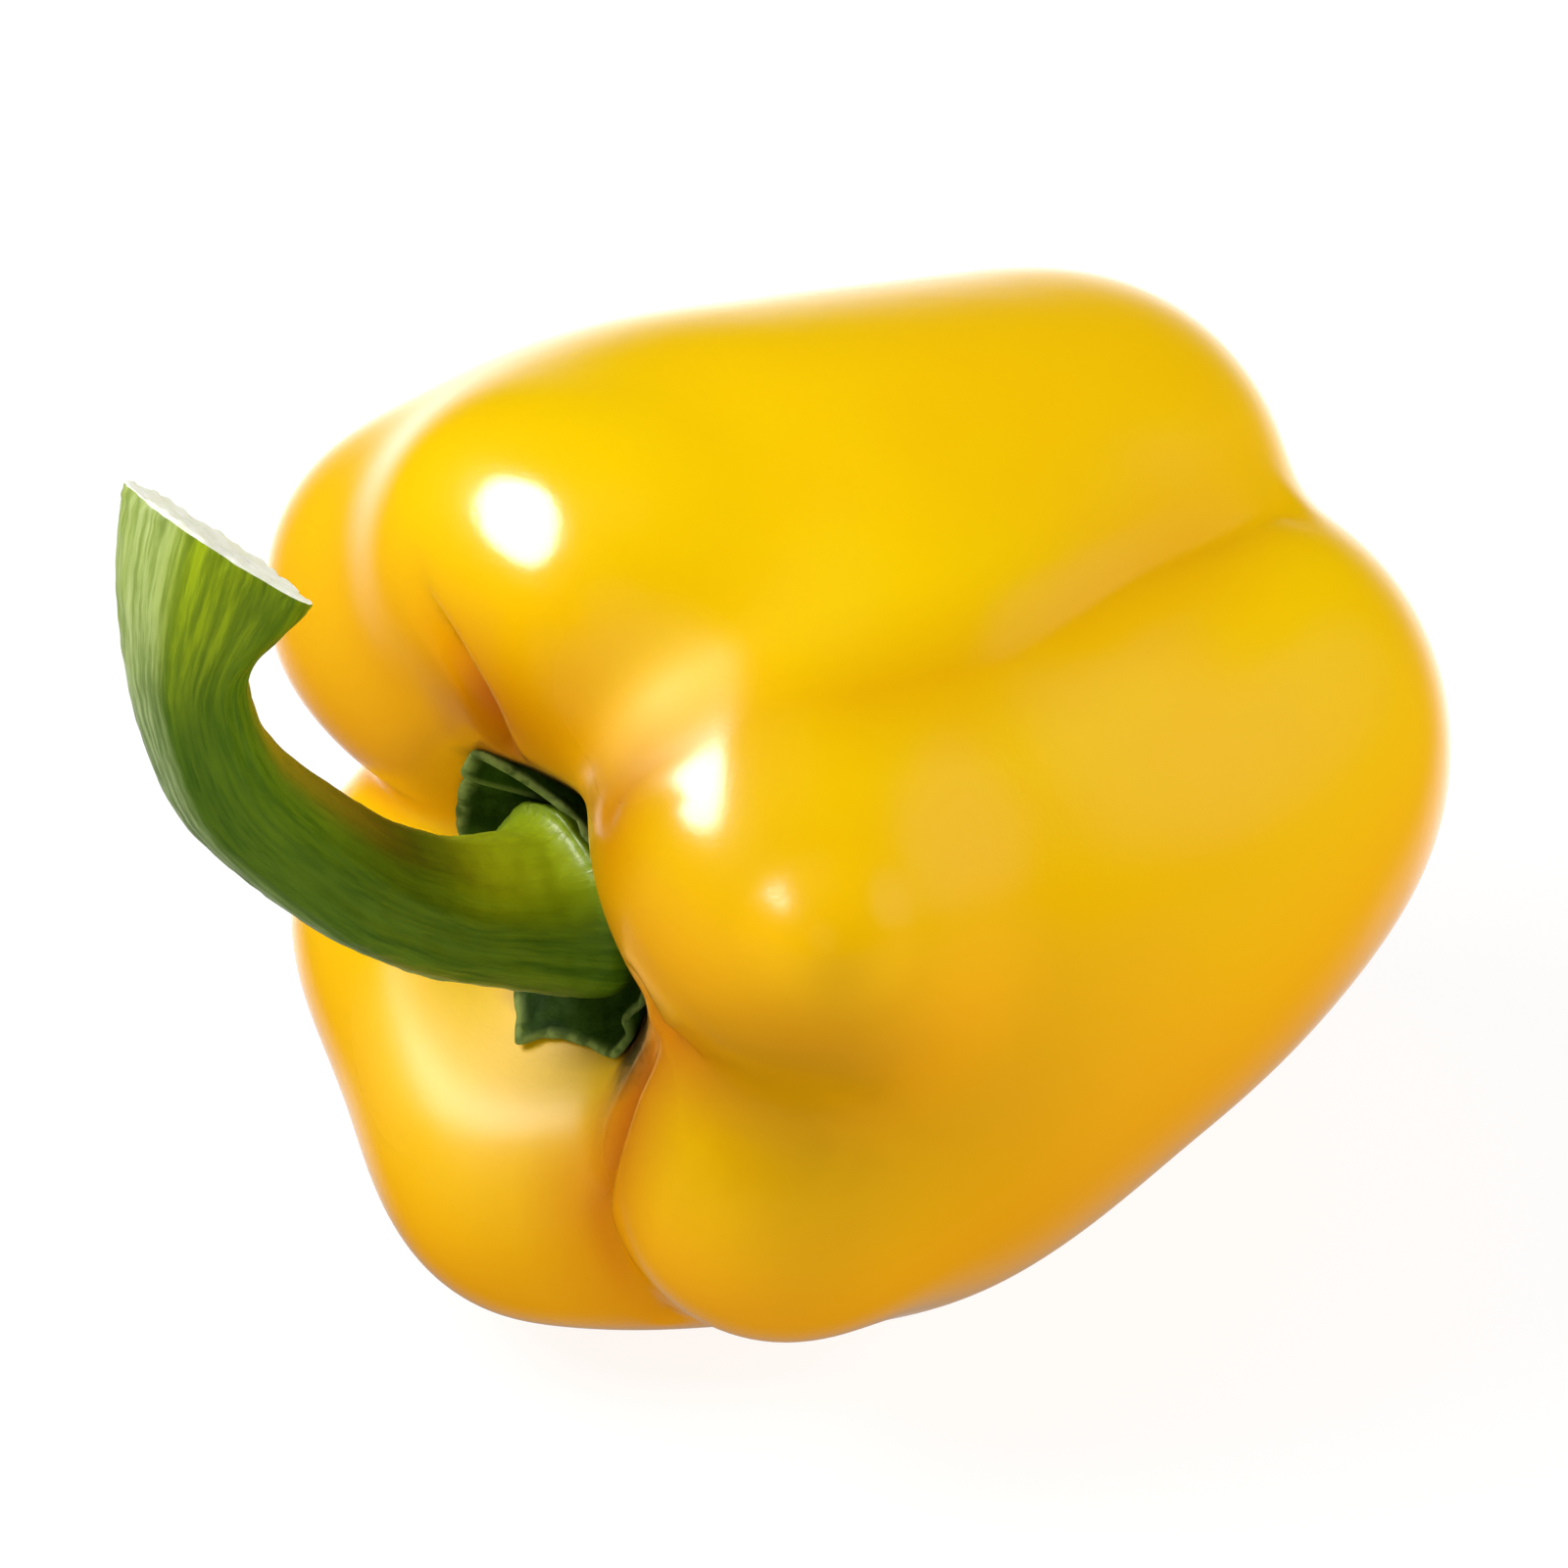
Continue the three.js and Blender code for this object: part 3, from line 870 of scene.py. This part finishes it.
def calyx_edge(clock):
    """How far the calyx reaches at a clock angle, and how far its edge stands off the fruit."""
    clock %= 360
    after = next((k for k, row in enumerate(CALYX_EDGE) if row[0] > clock), 0)
    start, end = CALYX_EDGE[after - 1], CALYX_EDGE[after]
    share = ((clock - start[0]) % 360) / ((end[0] - start[0]) % 360)
    return [a + (b - a) * share for a, b in zip(start[1:], end[1:])]


def calyx_material(settings):
    """Dark leathery green with pale worn edges and a pale rib."""
    material, tree, shader = new_material("pepper_calyx", specular=0.01, roughness=0.6)
    green, pale = tuple(settings.green), tuple(settings.edge)
    position = object_position(tree)
    patch, grain = mottle(tree, position, 3 * MM, 0.4 * MM)
    dark = mix_colour(tree, 1.0, green, (0.5, 0.6, 0.5, 1), "MULTIPLY")
    colour = mix_colour(tree, patch, green, dark)
    worn = map_range(tree, noise_mask(tree, position, 1.6 * MM), 0.35, 0.6, 0.35, 1.0)
    edge = times(tree, map_range(tree, attribute(tree, "rim"), 0.93, 1.0, 0.0, 0.9), worn)
    colour = mix_colour(tree, edge, colour, pale)
    rib = map_range(tree, attribute(tree, "rib"), 0.55, 1.0, 0.0, 0.55)
    colour = mix_colour(tree, rib, colour, pale)
    tree.links.new(colour, shader.inputs["Base Color"])
    lumps = bump(tree, noise_mask(tree, position, 1.8 * MM, 2.0), 0.35 * MM)
    tree.links.new(bump(tree, grain, 0.05 * MM, lumps), shader.inputs["Normal"])
    return material


class PEPPER_OT_calyx(bpy.types.Operator):
    """Adds the dark green calyx with its curled teeth"""

    bl_idname = "pepper.calyx"
    bl_label = "Calyx"

    def execute(self, context):
        settings = context.scene.pepper_calyx
        start = ROOT - TO_BLOSSOM * CALYX_START
        bpy.ops.object.select_all(action="DESELECT")
        bpy.ops.mesh.primitive_circle_add(
            vertices=CALYX_COLUMNS,
            radius=1 * MM,
            fill_type="NOTHING",
            location=start,
            rotation=(0, AXIS_TILT - pi / 2, 0),
        )
        piece = context.object
        piece.name = "pepper_calyx"
        bake_place(piece)
        edit_all(piece)
        for ring in range(CALYX_RINGS):
            grown = (ring + 2) / (ring + 1)
            bpy.ops.mesh.extrude_edges_move()
            bpy.ops.transform.resize(value=(grown, grown, grown), center_override=start)
        bpy.ops.object.mode_set(mode="OBJECT")
        self.lay_on(piece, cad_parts["fruit"], start)
        apply_modifier(piece, "SOLIDIFY", thickness=settings.thickness, offset=1)
        subdivide_surface(piece, 1)
        piece.data.materials.append(calyx_material(settings))
        finish_piece(piece, "calyx")
        return {"FINISHED"}

    def lay_on(self, piece, fruit, start):
        """Draws the teeth's outline and lays the calyx on the walls of the stem cavity."""
        points = [vertex.co for vertex in fruit.data.vertices]
        tree = BVHTree.FromPolygons(points, [face.vertices[:] for face in fruit.data.polygons])
        most = (CALYX_RINGS + 1) * MM
        rims, ribs = [], []
        for vertex in piece.data.vertices:
            step = vertex.co - start
            share = step.length / most
            clock = degrees(atan2(step.dot(AXIS_SIDE), step.dot(AXIS_TOP)))
            reach, lift = calyx_edge(clock)
            place = start + around_axis(clock, reach * share * MM)
            hit, normal, _, _ = tree.ray_cast(place, TO_BLOSSOM)
            if hit is None:
                raise RuntimeError("the calyx reaches past the fruit")
            if normal.dot(TO_BLOSSOM) > 0:
                normal = -normal
            rib = 1 - smoothstep(turn_between(clock, RIB_CLOCK), 0, RIB_TURN)
            rib *= smoothstep(share, *RIB_START)
            pocket = 1 - smoothstep(turn_between(clock, POCKET_CLOCK), *POCKET_TURNS)
            risen = smoothstep(share, CALYX_CURL + POCKET_CURL * pocket, 1.0)
            vertex.co = hit + normal * (CALYX_GAP + lift * risen + RIB_HEIGHT * rib) * MM
            rims.append(share)
            ribs.append(rib)
        keep_values(piece, "rim", "FLOAT", rims)
        keep_values(piece, "rib", "FLOAT", ribs)
        edit_all(piece)
        bpy.ops.mesh.normals_make_consistent(inside=False)
        bpy.ops.object.mode_set(mode="OBJECT")


# The studio

CAMERA_AZIMUTH = radians(-38)
CAMERA_ELEVATION = radians(35)
CAMERA_DISTANCE = 0.6
CAMERA_TARGET = Vector((12.13, 2.35, 44.7)) * MM
CAMERA_PIXELS = 6600  # focal length in pixels of the frame
FRAME_PIXELS = 1600
TARGET_PIXEL = (862, 832)  # where the target lies in the frame, from its top left corner
SENSOR = 36  # the camera's sensor width in millimetres
CLIP_START = 0.01

# The lights: the direction around the pepper and up in degrees, the distance and the size in
# metres, and the power in watts. The skin mirrors only the softbox, and the others only shade.
LIGHTS = (
    ("softbox", -120, 46, 0.6, (0.46, 0.33), 28.5),
    ("left", -117, 47, 0.6, (0.4, 0.4), 3.1),
    ("front", -38, 25, 1.2, (0.8, 0.8), 3.6),
    ("top", 0, 88, 1.2, (0.8, 0.8), 1.2),
    ("right", 60, 20, 1.2, (0.8, 0.8), 9.9),
)
SOFTBOX_TURN = -25  # degrees by which the softbox is turned about the way it looks

FLOOR_SIZE = 12
FLOOR_PATCHES = 0.4
HORIZON = 0.05  # half the height over which the light from below goes over to that from above
# What the skin mirrors apart from the softbox: a dark room, and white straight behind the pepper
# from where the camera stands, which is whiter higher up.
BEHIND = (-0.6, -0.97)
DARKEST = 0.01
BEHIND_HEIGHTS = (-0.75, -0.5)
BEHIND_SHARES = (0.2, 1.2)


class PEPPER_PG_stage(bpy.types.PropertyGroup):
    above: bpy.props.FloatProperty(
        name="Light from above",
        description="Brightness of the room above the floor",
        default=0.15,
    )
    below: bpy.props.FloatProperty(
        name="Light from below",
        description="Brightness that the pale floor throws up",
        default=1.1,
    )
    rims: bpy.props.FloatProperty(
        name="Rims",
        description="Brightness of the white behind the pepper that its rims mirror",
        default=1.7,
    )
    gain: bpy.props.FloatProperty(
        name="Lights",
        description="How much the lights' powers are raised or lowered",
        subtype="FACTOR",
        default=1.0,
    )
    floor: bpy.props.FloatVectorProperty(
        name="Floor",
        description="Colour of the floor",
        subtype="COLOR",
        size=4,
        default=(0.18, 0.18, 0.18, 1),
    )
    glow: bpy.props.FloatProperty(
        name="Floor glow",
        description="Light that comes through the floor, which keeps the shadows pale",
        default=0.86,
    )


def direction(azimuth, elevation):
    """The direction from the pepper at an angle around it and an angle up."""
    return Vector((sin(azimuth) * cos(elevation), -cos(azimuth) * cos(elevation), sin(elevation)))


def aim(thing, place, target):
    """Puts a camera or a light at a place and turns it to look at a target."""
    thing.location = place
    thing.rotation_euler = (target - place).to_track_quat("-Z", "Y").to_euler()


def add_light(name, azimuth, elevation, distance, size, power):
    """Adds a soft light that looks at the pepper from a direction around it."""
    data = bpy.data.lights.new(name, "AREA")
    data.shape = "ELLIPSE"
    data.size, data.size_y = size
    data.energy = power
    light = bpy.data.objects.new(name, data)
    bpy.context.scene.collection.objects.link(light)
    mirrored = name == "softbox"
    light.visible_diffuse = not mirrored
    light.visible_glossy = mirrored
    away = direction(radians(azimuth), radians(elevation))
    aim(light, CAMERA_TARGET + away * distance, CAMERA_TARGET)
    if mirrored:
        light.rotation_euler.rotate_axis("Z", radians(SOFTBOX_TURN))


class PEPPER_OT_stage(bpy.types.Operator):
    """Adds the floor, the lights and the camera"""

    bl_idname = "pepper.stage"
    bl_label = "Studio"

    def execute(self, context):
        settings = context.scene.pepper_stage
        self.floor(context, settings)
        self.lights(context, settings)
        self.camera(context)
        context.scene.view_settings.view_transform = "Standard"
        return {"FINISHED"}

    def floor(self, context, settings):
        bpy.ops.object.select_all(action="DESELECT")
        bpy.ops.mesh.primitive_plane_add(size=FLOOR_SIZE, location=(0, 0, 0))
        floor = context.object
        floor.name = "floor"
        material, tree, shader = new_material("floor_paper", specular=0.0, roughness=0.9)
        patches = noise_mask(tree, object_position(tree), FLOOR_PATCHES)
        tone = map_range(tree, patches, 0.3, 0.7, 0.98, 1.0)
        colour = mix_colour(tree, 1.0, tuple(settings.floor), tone, "MULTIPLY")
        tree.links.new(colour, shader.inputs["Base Color"])
        shader.inputs["Emission Color"].default_value = (1, 1, 1, 1)
        shader.inputs["Emission Strength"].default_value = settings.glow
        floor.data.materials.append(material)
        floor.visible_glossy = False
        floor.visible_diffuse = False

    def lights(self, context, settings):
        world = bpy.data.worlds.new("Surroundings")
        context.scene.world = world
        world.use_nodes = True
        tree = world.node_tree
        background = tree.nodes["Background"]
        toward = add_node(tree, "ShaderNodeTexCoord").outputs["Generated"]
        height = add_node(tree, "ShaderNodeSeparateXYZ", {0: toward}).outputs["Z"]
        shading = map_range(tree, height, -HORIZON, HORIZON, settings.below, settings.above)
        ways = {0: toward, 1: direction(CAMERA_AZIMUTH, CAMERA_ELEVATION)}
        facing = add_node(tree, "ShaderNodeVectorMath", ways, operation="DOT_PRODUCT")
        mirrored = map_range(tree, facing.outputs["Value"], *BEHIND, DARKEST, settings.rims)
        higher = map_range(tree, height, *BEHIND_HEIGHTS, *BEHIND_SHARES)
        mirrored = times(tree, mirrored, higher)
        gleaming = add_node(tree, "ShaderNodeLightPath").outputs["Is Glossy Ray"]
        level = add_node(tree, "ShaderNodeMix", {0: gleaming, 2: shading, 3: mirrored}).outputs[0]
        tree.links.new(level, background.inputs["Strength"])
        background.inputs["Color"].default_value = (1, 1, 1, 1)
        for name, azimuth, elevation, distance, size, power in LIGHTS:
            add_light(name, azimuth, elevation, distance, size, power * settings.gain)

    def camera(self, context):
        data = bpy.data.cameras.new("camera")
        camera = bpy.data.objects.new("camera", data)
        context.scene.collection.objects.link(camera)
        away = direction(CAMERA_AZIMUTH, CAMERA_ELEVATION)
        right = Vector((cos(CAMERA_AZIMUTH), sin(CAMERA_AZIMUTH), 0))
        up = away.cross(right)
        place = CAMERA_TARGET + away * CAMERA_DISTANCE
        beside = (FRAME_PIXELS / 2 - TARGET_PIXEL[0]) / CAMERA_PIXELS * CAMERA_DISTANCE
        above = (TARGET_PIXEL[1] - FRAME_PIXELS / 2) / CAMERA_PIXELS * CAMERA_DISTANCE
        aim(camera, place, CAMERA_TARGET + right * beside + up * above)
        data.sensor_width = SENSOR
        data.lens = CAMERA_PIXELS / FRAME_PIXELS * SENSOR
        data.clip_start = CLIP_START
        context.scene.camera = camera


class PEPPER_PT_panel(bpy.types.Panel):
    """Lists the pepper's pieces and the studio"""

    bl_idname = "PEPPER_PT_panel"
    bl_label = "Bell Pepper"
    bl_space_type = "VIEW_3D"
    bl_region_type = "UI"
    bl_category = "Pepper"

    def draw(self, context):
        for _, operator, settings in ADDED:
            box = self.layout.box()
            box.operator(operator.bl_idname)
            group = getattr(context.scene, settings)
            for name in group.bl_rna.properties.keys():
                if name not in ("rna_type", "name"):
                    box.prop(group, name)


# Each piece's settings and operator, with the name of the settings on the scene.
ADDED = (
    (PEPPER_PG_fruit, PEPPER_OT_fruit, "pepper_fruit"),
    (PEPPER_PG_calyx, PEPPER_OT_calyx, "pepper_calyx"),
    (PEPPER_PG_stem, PEPPER_OT_stem, "pepper_stem"),
    (PEPPER_PG_stage, PEPPER_OT_stage, "pepper_stage"),
)


def register():
    for group, operator, name in ADDED:
        bpy.utils.register_class(group)
        bpy.utils.register_class(operator)
        setattr(bpy.types.Scene, name, bpy.props.PointerProperty(type=group))
    bpy.utils.register_class(PEPPER_PT_panel)


def unregister():
    bpy.utils.unregister_class(PEPPER_PT_panel)
    for group, operator, name in ADDED:
        delattr(bpy.types.Scene, name)
        bpy.utils.unregister_class(operator)
        bpy.utils.unregister_class(group)


def main():
    register()
    bpy.ops.pepper.fruit()
    bpy.ops.pepper.calyx()
    bpy.ops.pepper.stem()
    bpy.ops.pepper.stage()


if __name__ == "__main__":
    main()
